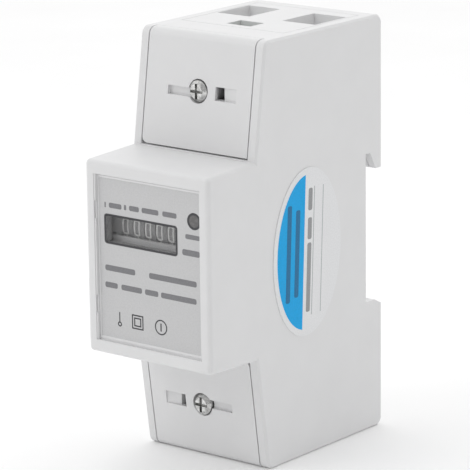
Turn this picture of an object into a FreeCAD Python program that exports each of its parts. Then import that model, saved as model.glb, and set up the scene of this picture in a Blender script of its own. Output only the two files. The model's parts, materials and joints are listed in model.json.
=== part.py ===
import FreeCAD, Part
import math
import os
import re
import Sketcher

# A two-module energy meter that clips onto a 35 mm mounting rail.
# Pieces are drawn from the middle of the front face: x to the right, y into the meter, z up.
# The finished meter stands on its flat bottom, with the origin in the middle of that face's box.

doc = FreeCAD.newDocument("EnergyMeter")
sheet = doc.addObject("Spreadsheet::Sheet", "dims")

SIZES = {
    # casing
    "width": 36.0,
    "height": 100.0,
    "depth": 65.0,
    "wall": 1.8,
    "raised_height": 45.0,
    "shoulder_rise": 0.64,
    "profile_radius": 2.0,
    "front_radius": 1.0,
    "side_radius": 1.1,
    "side_chamfer": 0.5,
    "fit_gap": 0.15,
    "floor_gap": 0.2,
    "thread_gap": 0.05,
    "shank_gap": 0.1,
    "overcut": 1.0,
    "overlap": 0.2,
    # front frame, label and window
    "frame_end": 3.0,
    "frame_notch_z": 11.1,
    "frame_notch_height": 4.1,
    "frame_notch_depth": 0.5,
    "frame_notch_setback": 0.45,
    "label_recess": 1.05,
    "label_thickness": 0.4,
    "front_wall": 1.8,
    "window_height": 6.55,
    "window_z": 6.8,
    "window_flange": 1.0,
    "lens_gap": 0.1,
    "lamp_z": 12.1,
    "pipe_collar_depth": 1.2,
    "lamp_height": 1.9,
    # rail slot on the back
    "rail_height": 35.0,
    "rail_play": 1.0,
    "rail_offset": -0.4,
    "slot_depth": 6.5,
    "hook_drop": 4.1,
    "hook_thickness": 2.5,
    "hook_gap": 1.7,
    "lip_run": 3.0,
    "lip_drop": 1.5,
    "lip_wall": 1.6,
    "seat_wall": 2.0,
    "seat_slant": 1.0,
    # lugs that lock the rear shell into the side walls
    "lug_height": 7.0,
    "lug_inset": 6.5,
    "lug_drop": 4.1,
    "lug_setback": 0.3,
    "lug_gap": 0.1,
    "lug_play": 0.5,
    # sliding rail clip
    "clip_flange": 2.4,
    "clip_thickness": 4.8,
    "clip_bite": 2.4,
    "clip_travel": 3.0,
    "clip_setback": 1.5,
    "bite_drop": 1.8,
    "bite_nose": 0.8,
    "spine_drop": 5.1,
    "key_wall": 1.6,
    "key_foot": 2.0,
    "key_height": 3.0,
    "arm_width": 1.0,
    "arm_slit": 0.9,
    "arm_reach": 6.0,
    "stop_size": 0.5,
    "stop_height": 1.2,
    "stop_rise": 14.0,
    # terminal covers
    "cover_thickness": 2.0,
    "cover_return": 2.7,
    "cover_foot_gap": 0.56,
    "foot_play": 0.4,
    "cover_side_gap": 0.3,
    "cover_corner": 1.5,
    "ledge": 1.6,
    "ledge_skin": 1.6,
    "screw_well": 5.6,
    "screw_well_depth": 1.6,
    "boss_wall": 1.4,
    "cover_screw_head": 5.0,
    "cover_screw_rise": 2.3,
    "cover_screw_crown": 0.8,
    "crown_inset": 0.8,
    "cross_reach": 1.8,
    "cross_half": 0.35,
    "cross_floor": 0.8,
    "cover_screw_thread": 3.0,
    "cover_screw_length": 12.0,
    "tip_room": 1.0,
    "seal_slot_start": 5.0,
    "seal_slot_end": 11.0,
    "seal_slot_height": 3.1,
    "seal_slot_shallow": 0.4,
    "seal_slot_deep": 0.9,
    "seal_hole_width": 2.0,
    "seal_hole_skin": 0.8,
    "seal_hole_undercut": 0.7,
    "finger_slot_end": 8.8,
    "finger_slot_height": 2.1,
    "finger_slot_drop": 0.5,
    "finger_slot_depth": 0.9,
    # terminal blocks
    "block_plate": 4.5,
    "block_inset": 5.15,
    "block_height": 19.5,
    "terminal_gap": 0.3,
    "column_gap": 0.2,
    "funnel_depth": 3.5,
    "funnel_taper": 8.0,
    "cage_height": 9.0,
    "cage_foot": 1.5,
    "cage_gap": 0.05,
    "cage_wall": 1.2,
    "cage_nut": 2.3,
    "tube_wall": 1.0,
    "head_gap": 0.2,
    "head_lift": 0.3,
    "terminal_screw_rise": 3.0,
    "terminal_screw_thread": 4.0,
    "terminal_slot_half": 0.5,
    "terminal_slot_depth": 1.6,
    # bars
    "bar_thickness": 1.5,
    "bar_end_gap": 0.6,
    "pin_size": 1.1,
    "pin_inset": 1.6,
    "shunt_length": 14.0,
    "shunt_thickness": 1.1,
    # pulse output terminal
    "pulse_bore": 2.6,
    "pulse_rim": 0.3,
    "pulse_end": 0.9,
    "pulse_entry_gap": 0.1,
    "pulse_floor": 1.4,
    "pulse_screw_sink": 0.6,
    "pulse_screw_floor": 2.2,
    "pulse_slot_half": 0.2,
    "pulse_slot_depth": 0.5,
    # circuit board
    "board_thickness": 1.6,
    "board_half_height": 20.4,
    "board_play": 0.3,
    "board_ledge_depth": 3.0,
    "board_ledge_end": 1.0,
    "post_z": 17.0,
    # parts on the board: place, width, height and how far they stand off it
    "film_x": -3.0,
    "film_z": -13.8,
    "film_wide": 13.0,
    "film_high": 7.0,
    "film_deep": 12.5,
    "can_x": 9.6,
    "can_z": -13.5,
    "can_radius": 4.0,
    "can_deep": 11.5,
    "varistor_x": -12.3,
    "varistor_z": -14.0,
    "varistor_radius": 3.5,
    "varistor_wide": 3.0,
    "varistor_lift": 5.0,
    "lead_spread": 2.0,
    "lead_size": 0.6,
    "lead_deep": 3.5,
    "opto_z": 17.0,
    "opto_wide": 6.5,
    "opto_high": 4.6,
    "bridge_x": -11.0,
    "bridge_z": 15.0,
    "bridge_wide": 4.5,
    "bridge_high": 6.0,
    "package_deep": 3.5,
    "crystal_x": 4.0,
    "crystal_wide": 7.0,
    "crystal_high": 4.4,
    "crystal_deep": 3.6,
    "chip_z": -2.0,
    "chip_wide": 7.5,
    "chip_high": 15.4,
    "chip_deep": 2.4,
    "leg_span": 10.2,
    "leg_pitch": 1.27,
    "leg_width": 0.42,
    "leg_deep": 0.5,
    # number counter
    "drum_radius": 6.5,
    "drum_bore": 1.9,
    "drum_rise": 4.7,
    "drum_gap": 0.25,
    "band_setback": 0.5,
    "ring_width": 0.6,
    "tooth_module": 0.53,
    "running_gap": 0.05,
    "pinion_width": 1.1,
    "pinion_play": 0.1,
    "pinion_bore": 1.3,
    "frame_plate": 0.8,
    "frame_play": 0.4,
    "end_play": 0.35,
    "foot_gap": 0.6,
    "foot_height": 6.3,
    "mask_gap": 0.2,
    "mask_thickness": 0.6,
    "mask_drop": 2.2,
    "mask_height": 4.0,
    "counter_axle_end": 0.6,
    "motor_diameter": 12.0,
    "motor_thickness": 5.0,
    "motor_shaft": 1.0,
    "motor_shaft_depth": 3.0,
    "boss_diameter": 4.6,
    "boss_height": 4.0,
    "boss_floor": 0.3,
    "boss_left": 4.0,
    "boss_right": 6.0,
    "counter_screw_head": 3.8,
    "counter_screw_rise": 1.4,
    "counter_screw_thread": 2.0,
    "counter_screw_length": 4.0,
    "counter_slot_depth": 0.6,
    "counter_slot_half": 0.25,
    # side sticker
    "sticker_height": 39.6,
    "sticker_drop": 1.2,
    "sticker_tilt": 2.8,
    "sticker_thickness": 0.2,
}

# Sizes that grow with the casing: what each follows, and its share of it
SHARES = {
    "shoulder_depth": ("depth", 17 / 65),
    "edge_depth": ("depth", 20.8 / 65),
    "column_front": ("depth", 27 / 65),
    "tube_front": ("depth", 33 / 65),
    "block_front": ("depth", 31.65 / 65),
    "board_front": ("depth", 40 / 65),
    "chamber_front": ("depth", 31.2 / 65),
    "block_face": ("depth", 42.6 / 65),
    "wire_y": ("depth", 50 / 65),
    "cage_length": ("depth", 10.6 / 65),
    "funnel_length": ("depth", 12 / 65),
    "terminal_screw_length": ("depth", 7 / 65),
    "pulse_depth": ("depth", 7 / 65),
    "sticker_depth": ("depth", 35.6 / 65),
    "sticker_width": ("depth", 25.4 / 65),
    "pulse_height": ("height", 5.3 / 100),
    "window_width": ("width", 20.9 / 36),
    "window_x": ("width", -2.65 / 36),
    "frame_side": ("width", 2.5 / 36),
    "lamp_x": ("width", 13 / 36),
    "lamp_hole": ("width", 3.8 / 36),
    "pipe_diameter": ("width", 3 / 36),
    "pipe_collar": ("width", 5.6 / 36),
    "cover_width": ("width", 30.6 / 36),
    "block_half": ("width", 14.85 / 36),
    "pole_x": ("width", 9.6 / 36),
    "cage_width": ("width", 9 / 36),
    "funnel_width": ("width", 9.4 / 36),
    "wire_bore": ("width", 7 / 36),
    "terminal_screw_head": ("width", 6.2 / 36),
    "column_size": ("width", 5.4 / 36),
    "bar_width": ("width", 4.6 / 36),
    "pulse_width": ("width", 7.6 / 36),
    "pulse_pitch": ("width", 3.5 / 36),
    "clip_width": ("width", 12 / 36),
    "clip_tail_width": ("width", 9 / 36),
    "board_half_width": ("width", 15.9 / 36),
    "board_tongue": ("width", 8.4 / 36),
    "board_ledge": ("width", 1.2 / 36),
    "post_x": ("width", 13.8 / 36),
    "post_size": ("width", 3.4 / 36),
    "drum_pitch": ("width", 3.35 / 36),
    "across": ("width", 1 / 36),
}

DRUMS = 6
RING_TEETH = 20
PINION_TEETH = 8
CHIP_LEGS = 12
# where the carry pinions and the driving pinion lie round the drums, in degrees
PINION_ANGLE = 45.0
MOTOR_ANGLE = -63.0
# tooth shapes, in modules: rise over the pitch line, half the tip,
# then foot depth, half the foot and hub depth
TOOTH_RISE = 0.75
TOOTH_TIP = 0.29
RING_FOOT = (2.5, 1.62, 1.9)
PINION_FOOT = (2.0, 1.11, 1.7)
DISC_CLEARANCE = 1.15

# Sizes that follow from the ones above
DERIVED = {
    "inner_front": "(label_recess + label_thickness + front_wall)",
    "label_back": "(label_recess + label_thickness)",
    "half_raised": "(raised_height / 2)",
    "half_height": "(height / 2)",
    "shoulder_z": "(raised_height / 2 + shoulder_rise)",
    "slope": "((edge_depth - shoulder_depth) / (height / 2 - raised_height / 2 - shoulder_rise))",
    "slot_top": "(rail_offset + rail_height / 2 + rail_play / 2)",
    "slot_low": "(rail_offset - rail_height / 2 - rail_play / 2)",
    "seat_y": "(depth - slot_depth)",
    "cover_low": "(raised_height / 2 + shoulder_rise + cover_foot_gap)",
    "seat_low": "(cover_low - foot_play)",
    "cover_foot_y": "(shoulder_depth + cover_foot_gap * slope)",
    "cover_reach": "(edge_depth + cover_return)",
    "screw_face": "(shoulder_depth + (cover_screw_z - shoulder_z) * slope)",
    "block_low": "(half_height - block_height)",
    "terminal_top": "(half_height - block_plate - terminal_gap)",
    "cover_screw_z": "(terminal_top - pulse_height - column_gap - column_size / 2)",
    "drum_width": "(drum_pitch - drum_gap)",
    "cage_low": "(block_low + cage_foot)",
    "cage_high": "(cage_low + cage_height)",
    "cage_front": "(wire_y - cage_length / 2)",
    "cage_back": "(wire_y + cage_length / 2)",
    "cage_z": "(cage_low + cage_height / 2)",
    "bar_back": "(cage_back - cage_wall)",
    "bar_front": "(bar_back - bar_thickness)",
    "board_back": "(board_front + board_thickness)",
    "clip_front": "(seat_y + clip_setback)",
    "clip_back": "(clip_front + clip_thickness)",
    "clip_top": "(slot_low + clip_bite)",
    "clip_tail": "(clip_travel + floor_gap - height / 2)",
    "axis_y": "(label_recess + drum_rise + drum_radius)",
    "ring_pitch": f"(tooth_module * {RING_TEETH / 2})",
    "pinion_pitch": f"(tooth_module * {PINION_TEETH / 2})",
    "pinion_tip": f"(pinion_pitch + tooth_module * {TOOTH_RISE})",
    "gear_distance": "(ring_pitch + pinion_pitch)",
    "drums_half": f"(drum_pitch * {(DRUMS - 1) / 2} + drum_width / 2)",
    "frame_left": "(window_x - drums_half - end_play)",
    "frame_right": "(window_x + drums_half + end_play)",
    "pinion_y": f"(axis_y + gear_distance * {math.cos(math.radians(PINION_ANGLE)):.6f})",
    "pinion_z": f"(window_z + gear_distance * {math.sin(math.radians(PINION_ANGLE)):.6f})",
    "frame_back": "(pinion_y + pinion_tip + frame_play)",
    "frame_high": "(pinion_z + pinion_tip + frame_play)",
    "foot_top": "(window_z - drum_radius - foot_gap)",
    "frame_low": "(foot_top - foot_height)",
    "mask_front": "(inner_front + window_flange + mask_gap)",
    "mask_top": "(window_z - mask_drop)",
    "flange_y": "(inner_front + boss_height)",
    "block_back": "(depth - block_inset)",
    "stop_z": "(clip_tail + stop_rise)",
    "channel_back": "(clip_front - fit_gap - seat_wall)",
    "channel_half": "(clip_width / 2 + fit_gap + seat_wall)",
    "boss_z": "(frame_low + boss_diameter / 2)",
}
DERIVED.update({name: f"({whole} * {share!r})" for name, (whole, share) in SHARES.items()})


def full(text):
    """Turns plain size names into an expression on the sheet."""
    names = re.compile(r"\b[a-z_]+\b")
    while any(word in DERIVED for word in names.findall(text)):
        text = names.sub(lambda word: DERIVED.get(word.group(), word.group()), text)
    return names.sub(lambda word: "dims." + word.group() if word.group() in SIZES else word.group(), text)


def value(text):
    return float(sheet.evalExpression(full(text)))


for row, (alias, size) in enumerate(SIZES.items(), start=1):
    sheet.set(f"A{row}", alias.replace("_", " "))
    sheet.set(f"B{row}", str(size))
    sheet.setAlias(f"B{row}", alias)
doc.recompute()

X_TURN = FreeCAD.Rotation(FreeCAD.Vector(0, 1, 0), 90)
Y_TURN = FreeCAD.Rotation(FreeCAD.Vector(1, 0, 0), -90)
NO_TURN = FreeCAD.Rotation()
OVER = FreeCAD.Rotation(FreeCAD.Vector(0, 1, 0), 180)

subparts = {}
spots = {}


def put(item, x="0", y="0", z="0", turn=NO_TURN):
    """Places an object at a point of the drawing frame."""
    spots[item.Name] = (x, y, z, turn)
    item.Placement = FreeCAD.Placement(FreeCAD.Vector(value(x), value(y), value(z)), turn)
    for axis, text in zip("xyz", (x, y, z)):
        item.setExpression("Placement.Base." + axis, full(text))
    return item


def block(x, y, z, name="Block"):
    """A box between two positions along each axis."""
    item = doc.addObject("Part::Box", name)
    for size, (low, high) in zip(("Length", "Width", "Height"), (x, y, z)):
        item.setExpression(size, full(f"({high}) - ({low})"))
    return put(item, x[0], y[0], z[0])


def rod(axis, start, end, radius, first="0", second="0", name="Rod"):
    """A cylinder along an axis; first and second are its place on the other two axes, in order."""
    item = doc.addObject("Part::Cylinder", name)
    item.setExpression("Radius", full(radius))
    item.setExpression("Height", full(f"({end}) - ({start})"))
    if axis == "x":
        return put(item, start, first, second, X_TURN)
    if axis == "y":
        return put(item, first, start, second, Y_TURN)
    return put(item, first, second, start)


def fuse(*items):
    item = doc.addObject("Part::MultiFuse", "Fuse")
    item.Shapes = list(items)
    return item


def cut(base, *tools):
    item = doc.addObject("Part::Cut", "Cut")
    item.Base = base
    item.Tool = tools[0] if len(tools) == 1 else fuse(*tools)
    return item


def group(*items):
    item = doc.addObject("Part::Compound", "Group")
    item.Links = list(items)
    return item


def seat(item, label, x="0", y="0", z="0", turn=NO_TURN):
    """Names a finished piece and sets it in the standing frame, from the spot it was drawn at."""
    own_x, own_y, own_z, own_turn = spots.get(item.Name, ("0", "0", "0", NO_TURN))
    item.Label = label
    place = (f"{own_x} + {x}", f"{own_y} + {y} - depth / 2", f"{own_z} + {z} + half_height")
    put(item, *place, turn.multiply(own_turn))
    subparts[label] = item
    return item


def new_body(name):
    return doc.addObject("PartDesign::Body", name)


def new_sketch(body, role, offset=None):
    """An empty sketch on one of the body's own planes; offset shifts it along z."""
    sketch = body.newObject("Sketcher::SketchObject", "Sketch")
    plane = [item for item in body.Origin.OriginFeatures if item.Role == role][0]
    sketch.AttachmentSupport = [(plane, "")]
    sketch.MapMode = "FlatFace"
    if offset:
        sketch.setExpression("AttachmentOffset.Base.z", full(offset))
    return sketch


def pin_point(sketch, line, end, u, v):
    """Ties one end of a line to the sheet, measured from the sketch's origin."""
    for kind, text in (("DistanceX", u), ("DistanceY", v)):
        number = sketch.addConstraint(Sketcher.Constraint(kind, -1, 1, line, end, value(text)))
        sketch.setExpression(f"Constraints[{number}]", full(text))


def add_outline(sketch, points):
    """A closed outline of straight lines through named points."""
    corners = [FreeCAD.Vector(value(u), value(v), 0) for u, v in points]
    first = sketch.GeometryCount
    for number, corner in enumerate(corners):
        sketch.addGeometry(Part.LineSegment(corner, corners[(number + 1) % len(corners)]), False)
    for number in range(len(corners)):
        following = first + (number + 1) % len(corners)
        sketch.addConstraint(Sketcher.Constraint("Coincident", first + number, 2, following, 1))
    for number, (u, v) in enumerate(points):
        pin_point(sketch, first + number, 1, u, v)


def add_circle(sketch, u, v, radius):
    center = FreeCAD.Vector(value(u), value(v), 0)
    number = sketch.addGeometry(Part.Circle(center, FreeCAD.Vector(0, 0, 1), value(radius)), False)
    pin_point(sketch, number, 3, u, v)
    rule = sketch.addConstraint(Sketcher.Constraint("Radius", number, value(radius)))
    sketch.setExpression(f"Constraints[{rule}]", full(radius))


def outline(body, role, points, offset=None):
    sketch = new_sketch(body, role, offset)
    add_outline(sketch, points)
    return sketch


def rectangle(low_u, high_u, low_v, high_v):
    return [(low_u, low_v), (high_u, low_v), (high_u, high_v), (low_u, high_v)]


def square(u, v, half):
    return rectangle(f"{u} - ({half})", f"{u} + {half}", f"{v} - ({half})", f"{v} + {half}")


def feature(body, kind, sketch, length, sides="One side", reverse=False):
    """A pad or pocket, with a check that it changes the solid."""
    before = body.Shape.Volume if body.Tip else 0.0
    item = body.newObject("PartDesign::" + kind, kind)
    item.Profile = sketch
    item.SideType = sides
    item.Reversed = reverse
    item.setExpression("Length", full(length))
    doc.recompute()
    if abs(body.Shape.Volume - before) < 1e-6:
        raise ValueError(f"{body.Name}: {item.Name} changes nothing")
    return item


def pad(body, sketch, length, sides="Symmetric", reverse=False):
    return feature(body, "Pad", sketch, length, sides, reverse)


def pocket(body, sketch, length, sides="Symmetric", reverse=False):
    return feature(body, "Pocket", sketch, length, sides, reverse)


def edges_where(shape, test):
    """Names of the edges whose two ends and middle pass a test."""
    names = []
    for number, edge in enumerate(shape.Edges, start=1):
        points = [vertex.Point for vertex in edge.Vertexes]
        points.append(edge.valueAt((edge.FirstParameter + edge.LastParameter) / 2))
        if all(test(point) for point in points):
            names.append(f"Edge{number}")
    return names


def dress_edges(body, kind, size_name, size, test):
    """A fillet or chamfer on the edges of the body that pass a test."""
    base = body.Tip
    names = edges_where(base.Shape, test)
    if not names:
        raise ValueError(f"{body.Name}: no edge for the {kind}")
    item = body.newObject("PartDesign::" + kind, kind)
    item.Base = (base, names)
    item.setExpression(size_name, full(size))
    doc.recompute()


def round_edges(body, radius, test):
    dress_edges(body, "Fillet", "Radius", radius, test)


def bevel_edges(body, size, test):
    dress_edges(body, "Chamfer", "Size", size, test)


def near(a, b):
    return abs(a - b) < 0.01


def casing_profile():
    """Outline of the casing seen from its side, with the rail slot."""
    return [
        ("0", "-half_raised"), ("0", "half_raised"),
        ("shoulder_depth", "shoulder_z"), ("edge_depth", "half_height"),
        ("depth", "half_height"), *slot_profile(),
        ("depth", "-half_height"), ("edge_depth", "-half_height"),
        ("shoulder_depth", "-shoulder_z"),
    ]


def slot_profile():
    """The rail slot, from the hook's tip down to the lower lip."""
    return [
        ("depth", "slot_top - hook_drop"),
        ("depth - hook_thickness", "slot_top - hook_drop"),
        ("seat_y + hook_gap", "slot_top"),
        ("seat_y", "slot_top"), ("seat_y", "slot_low"),
        ("depth - lip_run", "slot_low"),
        ("depth", "slot_low - lip_drop"),
    ]


def make_housing():
    body = new_body("Housing")
    pad(body, outline(body, "YZ_Plane", casing_profile()), "width")
    half, deep, edge = value("half_height"), value("depth"), value("edge_depth")
    round_edges(
        body, "profile_radius",
        lambda p: near(abs(p.z), half) and (near(p.y, deep) or near(p.y, edge)),
    )
    front_edge = value("half_raised")
    round_edges(body, "front_radius", lambda p: near(p.y, 0) and near(abs(p.z), front_edge))
    side, shoulder = value("width / 2"), value("shoulder_depth")
    seat_line, slot_line = value("seat_y - seat_wall"), value("slot_top + lug_inset")

    def outer(p):
        return near(abs(p.x), side) and not (p.y > seat_line and abs(p.z) < slot_line)

    round_edges(body, "side_radius", lambda p: outer(p) and p.y < shoulder + 0.01)
    bevel_edges(body, "side_chamfer", lambda p: outer(p) and p.y > shoulder - 0.01)
    hollow_casing(body)
    for sign in ("", "-"):
        cut_cover_seat(body, sign)
        cut_block_window(body, sign)
    cut_front(body)
    cut_clip_notch(body)
    add_counter_bosses(body)
    add_board_ledges(body)
    seat(body, "housing")


def hollow_casing(body):
    chamber = [
        ("chamber_front", "shoulder_z"),
        ("shoulder_depth + cover_thickness + ledge_skin", "shoulder_z"),
        ("edge_depth + cover_thickness + ledge_skin", "half_height - wall"),
        ("depth + overcut", "half_height - wall"),
    ]
    lower = [(y, f"-({z})") for y, z in reversed(chamber)]
    middle = [
        ("chamber_front", "-(half_raised - wall)"),
        ("inner_front", "-(half_raised - wall)"),
        ("inner_front", "half_raised - wall"),
        ("chamber_front", "half_raised - wall"),
    ]
    pocket(body, outline(body, "YZ_Plane", middle + chamber + lower), "width - 2 * wall")
    for low in lug_places():
        room = rectangle(
            "depth - wall - lug_gap", "depth - lug_setback + lug_gap",
            f"{low} - lug_play", f"{low} + lug_height + lug_play",
        )
        pocket(body, outline(body, "YZ_Plane", room), "width - 2 * wall + 2 * stop_size + 2 * lug_gap")


def lug_places():
    """Lower ends of the rear shell's lugs: top, bottom, and over and under the rail slot."""
    return [
        "half_height - lug_inset - lug_height", "-(half_height - lug_inset)",
        "slot_top + lug_inset", "slot_low - lug_drop - lug_height",
    ]


def cut_cover_seat(body, sign):
    """The stepped opening that a terminal cover drops into."""
    low = "seat_low"
    step = [
        ("shoulder_depth - overcut", low), ("shoulder_depth - overcut", "half_height + overcut"),
        ("cover_reach + fit_gap", "half_height + overcut"),
        ("cover_reach + fit_gap", "half_height - cover_thickness"),
        ("edge_depth + cover_thickness", "half_height - cover_thickness"),
        ("cover_foot_y + cover_thickness - foot_play * slope", low),
    ]
    hole = [
        ("shoulder_depth", f"{low} + ledge"), ("shoulder_depth", "half_height - cover_thickness"),
        ("edge_depth + cover_thickness + ledge_skin + overcut", "half_height - cover_thickness"),
        ("edge_depth + cover_thickness + ledge_skin + overcut", f"{low} + ledge"),
    ]
    for points, width in ((step, "cover_width + 2 * cover_side_gap"), (hole, "cover_width - 2 * ledge")):
        turned = [(y, f"{sign}({z})") for y, z in points]
        pocket(body, outline(body, "YZ_Plane", turned), width)


def cut_block_window(body, sign):
    """The opening in the end wall that a terminal block fills."""
    hole = rectangle(
        "-(block_half + fit_gap)", "block_half + fit_gap",
        "block_front - fit_gap", "block_back + fit_gap",
    )
    sketch = outline(body, "XY_Plane", hole, f"{sign}half_height")
    pocket(body, sketch, "wall + overcut", "One side", sign == "-")


def cut_front(body):
    """The label recess with two notches in its left wall, and the holes for the window and the lamp."""
    recess = rectangle(
        "-(width / 2 - frame_side)", "width / 2 - frame_side",
        "-(half_raised - frame_end)", "half_raised - frame_end",
    )
    pocket(body, outline(body, "XZ_Plane", recess), "label_back", "One side")
    sketch = new_sketch(body, "XZ_Plane")
    add_outline(sketch, window_rectangle("0"))
    add_circle(sketch, "lamp_x", "lamp_z", "lamp_hole / 2")
    pocket(body, sketch, "inner_front + overcut", "One side")
    notches = new_sketch(body, "YZ_Plane", "-(width / 2 - frame_side)")
    for sign in ("", "-"):
        middle = f"{sign}frame_notch_z"
        add_outline(notches, rectangle(
            "frame_notch_setback", "label_back",
            f"{middle} - frame_notch_height / 2", f"{middle} + frame_notch_height / 2",
        ))
    pocket(body, notches, "frame_notch_depth", "One side")


def window_rectangle(margin):
    """The window's outline, grown by a margin."""
    return rectangle(
        f"window_x - window_width / 2 - ({margin})", f"window_x + window_width / 2 + ({margin})",
        f"window_z - window_height / 2 - ({margin})", f"window_z + window_height / 2 + ({margin})",
    )


def cut_clip_notch(body):
    """The gap in the bottom wall where the rail clip's tail comes out."""
    notch = rectangle(
        "-(clip_width / 2 + fit_gap)", "clip_width / 2 + fit_gap",
        "clip_front - fit_gap", "depth + overcut",
    )
    pocket(body, outline(body, "XY_Plane", notch, "-half_height"), "wall + overcut", "One side", True)


def counter_boss_places():
    return [("frame_left + boss_left", "boss_z"), ("frame_right - boss_right", "boss_z")]


def add_counter_bosses(body):
    """Two posts behind the front wall that the counter is screwed to."""
    for radius, kind in (("boss_diameter / 2", "Pad"), ("counter_screw_thread / 2 + thread_gap", "Pocket")):
        sketch = new_sketch(body, "XZ_Plane", "-flange_y")
        for x, z in counter_boss_places():
            add_circle(sketch, x, z, radius)
        length = "boss_height + overlap" if kind == "Pad" else "boss_height - boss_floor"
        feature(body, kind, sketch, length, "One side", kind == "Pocket")


def add_board_ledges(body):
    """A ledge along each side wall that the circuit board rests against."""
    end = "post_z + board_ledge_end"
    rib = rectangle("board_front - board_ledge_depth", "board_front", f"-({end})", end)
    pad(body, outline(body, "YZ_Plane", rib), "width - 2 * wall + 2 * overlap")
    pocket(body, outline(body, "YZ_Plane", rib), "width - 2 * wall - 2 * board_ledge")


def make_rear_base():
    body = new_body("RearBase")
    end = "half_height - wall - fit_gap"
    inside = [
        ("depth - wall", f"-({end})"), ("depth - wall", "slot_low - lip_drop - lip_wall"),
        ("seat_y - seat_wall", "slot_low - seat_wall"), ("seat_y - seat_wall", "slot_top + seat_wall"),
        ("depth - wall", "slot_top + seat_wall + seat_slant"), ("depth - wall", end),
    ]
    profile = [("depth", end), *slot_profile(), ("depth", f"-({end})"), *inside]
    width = "width - 2 * wall - 2 * fit_gap"
    pad(body, outline(body, "YZ_Plane", profile), width)
    for low in lug_places():
        lug = rectangle("depth - wall", "depth - lug_setback", low, f"{low} + lug_height")
        pad(body, outline(body, "YZ_Plane", lug), "width - 2 * wall + 2 * stop_size")
    add_clip_channel(body)
    sketch = new_sketch(body, "XZ_Plane", "-board_back")
    for x in ("-post_x", "post_x"):
        for z in ("-post_z", "post_z"):
            add_outline(sketch, square(x, z, "post_size / 2"))
    pad(body, sketch, "seat_y - seat_wall / 2 - board_back", "One side", True)
    seat(body, "rear_base")


def add_clip_channel(body):
    """The undercut channel that the rail clip slides in."""
    end = "half_height - wall - fit_gap"
    wall_block = rectangle(
        "channel_back", "depth - wall / 2", f"-({end})", "slot_low - seat_wall / 2",
    )
    pad(body, outline(body, "YZ_Plane", wall_block), "2 * channel_half")
    inner = rectangle(
        "clip_front - fit_gap", "clip_front + clip_flange + fit_gap", "-half_height", "slot_low + overcut",
    )
    outer = rectangle("clip_front", "depth + overcut", "-half_height", "slot_low + overcut")
    stop_room = rectangle(
        "clip_front - fit_gap", "clip_front + clip_flange + fit_gap",
        "stop_z - clip_travel - stop_height / 2 - fit_gap", "stop_z + stop_height / 2 + fit_gap",
    )
    pocket(body, outline(body, "YZ_Plane", inner), "clip_width + 2 * fit_gap")
    pocket(body, outline(body, "YZ_Plane", outer), "clip_tail_width + 2 * fit_gap")
    pocket(body, outline(body, "YZ_Plane", stop_room), "clip_width + 2 * fit_gap + 2 * stop_size")


def make_din_clip():
    body = new_body("DinClip")
    bite = [
        ("clip_front", "clip_tail"), ("clip_front + clip_flange", "clip_tail"),
        ("clip_front + clip_flange", "clip_top - bite_drop"), ("clip_front + bite_nose", "clip_top"),
        ("clip_front", "clip_top"),
    ]
    spine = [
        ("clip_front", "clip_tail"), ("clip_back", "clip_tail"),
        ("clip_back", "clip_top - spine_drop"), ("clip_front + clip_flange", "clip_top - bite_drop"),
        ("clip_front", "clip_top - bite_drop"),
    ]
    pad(body, outline(body, "YZ_Plane", bite), "clip_width")
    pad(body, outline(body, "YZ_Plane", spine), "clip_tail_width")
    key = rectangle(
        "key_wall - clip_tail_width / 2", "clip_tail_width / 2 - key_wall",
        "clip_tail + key_foot", "clip_tail + key_foot + key_height",
    )
    pocket(body, outline(body, "XZ_Plane", key), "2 * (depth + overcut)")
    stop = rectangle(
        "clip_front", "clip_front + clip_flange",
        "stop_z - stop_height / 2", "stop_z + stop_height / 2",
    )
    pad(body, outline(body, "YZ_Plane", stop), "clip_width + 2 * stop_size - fit_gap")
    slits = new_sketch(body, "XZ_Plane")
    for sign in ("", "-"):
        outer = f"{sign}(clip_width / 2 - arm_width)"
        inner = f"{sign}(clip_width / 2 - arm_width - arm_slit)"
        add_outline(slits, rectangle(outer, inner, "stop_z - arm_reach", "stop_z + arm_reach"))
    pocket(body, slits, "2 * (depth + overcut)")
    seat(body, "din_clip")


def make_cover(label, turn):
    body = new_body("Cover")
    plate = [
        ("cover_foot_y", "cover_low"), ("edge_depth", "half_height"),
        ("cover_reach", "half_height"), ("cover_reach", "half_height - cover_thickness"),
        ("edge_depth + cover_thickness", "half_height - cover_thickness"),
        ("cover_foot_y + cover_thickness", "cover_low"),
    ]
    pad(body, outline(body, "YZ_Plane", plate), "cover_width")
    top, edge = value("half_height"), value("edge_depth")
    round_edges(body, "profile_radius", lambda p: near(p.z, top) and near(p.y, edge))
    corner_x, corner_z = value("-cover_width / 2"), value("cover_low")
    round_edges(body, "cover_corner", lambda p: near(p.x, corner_x) and near(p.z, corner_z))
    add_cover_boss(body)
    add_cover_slots(body)
    seat(body, label, turn=turn)


def add_cover_boss(body):
    """The screw's well, with the sleeve behind it that stands on the block's column."""
    sleeve = new_sketch(body, "XZ_Plane", "-column_front")
    add_circle(sleeve, "0", "cover_screw_z", "screw_well / 2 + boss_wall")
    pad(body, sleeve, "column_front - screw_face - cover_thickness / 2", "One side")
    well = new_sketch(body, "XZ_Plane", "-(screw_face + screw_well_depth)")
    add_circle(well, "0", "cover_screw_z", "screw_well / 2")
    pocket(body, well, "screw_well_depth + overcut", "One side", True)
    shank = new_sketch(body, "XZ_Plane", "-(column_front + overcut)")
    add_circle(shank, "0", "cover_screw_z", "cover_screw_thread / 2 + shank_gap")
    pocket(body, shank, "column_front + overcut - screw_face", "One side", True)


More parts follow.
